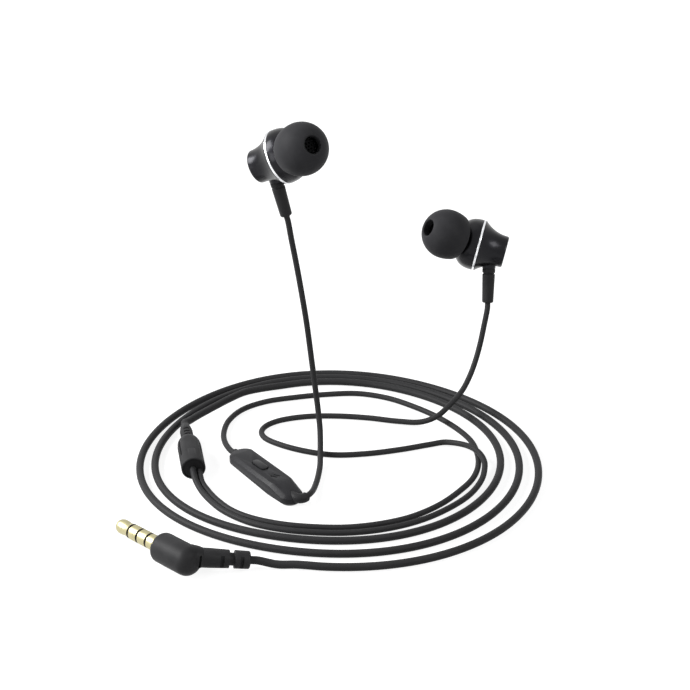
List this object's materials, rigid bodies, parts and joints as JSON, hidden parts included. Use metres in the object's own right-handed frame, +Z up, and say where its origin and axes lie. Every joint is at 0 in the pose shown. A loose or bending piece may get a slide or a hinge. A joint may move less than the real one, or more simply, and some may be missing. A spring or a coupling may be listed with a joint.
{
  "type": "wired earphones",
  "caption": "Wired in-ear earphones with angled dark metal buds, soft tips, an in-line remote, a splitter and an angled plug on a loosely coiled cord.",
  "frame": {"origin": "middle of the left ear tip's sound opening, where the ear holds the bud", "axes": "+Z up from the desk that the coil lies on, +X across from the left bud to the right bud, +Y away from the plug's side of the coil"},
  "size_m": [0.0967, 0.1, 0.0836],
  "materials": {
    "shell_metal": "dark gunmetal lacquer, glossy",
    "bright_ring": "polished cut edge",
    "fine_steel": "stamped, plain",
    "tip_silicone": "soft matte silicone",
    "frame_plastic": "moulded",
    "brass_cover": "stamped, lacquered",
    "magnet_nickel": "nickel plated",
    "coil_copper": "enamelled winding",
    "film": "thin formed film",
    "board": "solder mask",
    "damper_foam": "open-cell acoustic foam",
    "cord_rubber": "satin black elastomer",
    "cover_plastic": "satin black",
    "button_plastic": "satin black",
    "gold_contact": "pale gold plating",
    "insulator": "dark brown bands"
  },
  "bodies": {
    "root": {"left_rear_shell": "shell_metal", "left_trim_ring": "bright_ring", "left_front_housing": "shell_metal", "left_nozzle_mesh": "fine_steel", "left_driver_basket": "frame_plastic", "left_driver_cover": "brass_cover", "left_yoke": "fine_steel", "left_magnet": "magnet_nickel", "left_top_plate": "fine_steel", "left_terminal_board": "board", "left_damper": "damper_foam", "left_strain_relief": "cord_rubber", "right_rear_shell": "shell_metal", "right_trim_ring": "bright_ring", "right_front_housing": "shell_metal", "right_nozzle_mesh": "fine_steel", "right_driver_basket": "frame_plastic", "right_driver_cover": "brass_cover", "right_yoke": "fine_steel", "right_magnet": "magnet_nickel", "right_top_plate": "fine_steel", "right_terminal_board": "board", "right_damper": "damper_foam", "right_strain_relief": "cord_rubber", "remote_bottom_cover": "cover_plastic", "remote_top_cover": "cover_plastic", "remote_circuit_board": "board", "remote_switch": "fine_steel", "remote_microphone": "fine_steel", "remote_upper_bushing": "cord_rubber", "remote_elbow_bushing": "cord_rubber", "splitter_barrel": "cover_plastic", "splitter_neck": "cord_rubber", "splitter_crimp": "fine_steel", "splitter_end_cap": "cord_rubber", "plug_tip": "gold_contact", "plug_ring_1": "gold_contact", "plug_ring_2": "gold_contact", "plug_sleeve": "gold_contact", "plug_insulator": "insulator", "plug_handle": "cord_rubber", "plug_boot": "cord_rubber", "main_cord": "cord_rubber", "remote_cord": "cord_rubber", "right_bud_cord": "cord_rubber", "left_bud_cord": "cord_rubber"},
    "left_ear_tip": {"left_ear_tip": "tip_silicone"},
    "left_diaphragm": {"left_diaphragm": "film", "left_voice_coil": "coil_copper"},
    "right_ear_tip": {"right_ear_tip": "tip_silicone"},
    "right_diaphragm": {"right_diaphragm": "film", "right_voice_coil": "coil_copper"},
    "remote_button": {"remote_button": "button_plastic"}
  },
  "joints": [
    {"name": "left_tip_slide", "type": "slide", "parent": "root", "child": "left_ear_tip", "axis": [0.4673, -0.7651, 0.443], "range_m": [0, 0.006]},
    {"name": "right_tip_slide", "type": "slide", "parent": "root", "child": "right_ear_tip", "axis": [-0.82, -0.3601, 0.4449], "range_m": [0, 0.006]},
    {"name": "left_diaphragm_stroke", "type": "slide", "parent": "root", "child": "left_diaphragm", "axis": [0.8414, -0.2944, 0.4531], "range_m": [-0.0002, 0.0002], "stiffness_N_per_m": 190},
    {"name": "right_diaphragm_stroke", "type": "slide", "parent": "root", "child": "right_diaphragm", "axis": [-0.9629, 0.1734, 0.207], "range_m": [-0.0002, 0.0002], "stiffness_N_per_m": 190},
    {"name": "button_press", "type": "slide", "parent": "root", "child": "remote_button", "axis": [0, 0, -1], "range_m": [0, 0.00025], "stiffness_N_per_m": 6000, "springref_m": -0.00005}
  ]
}
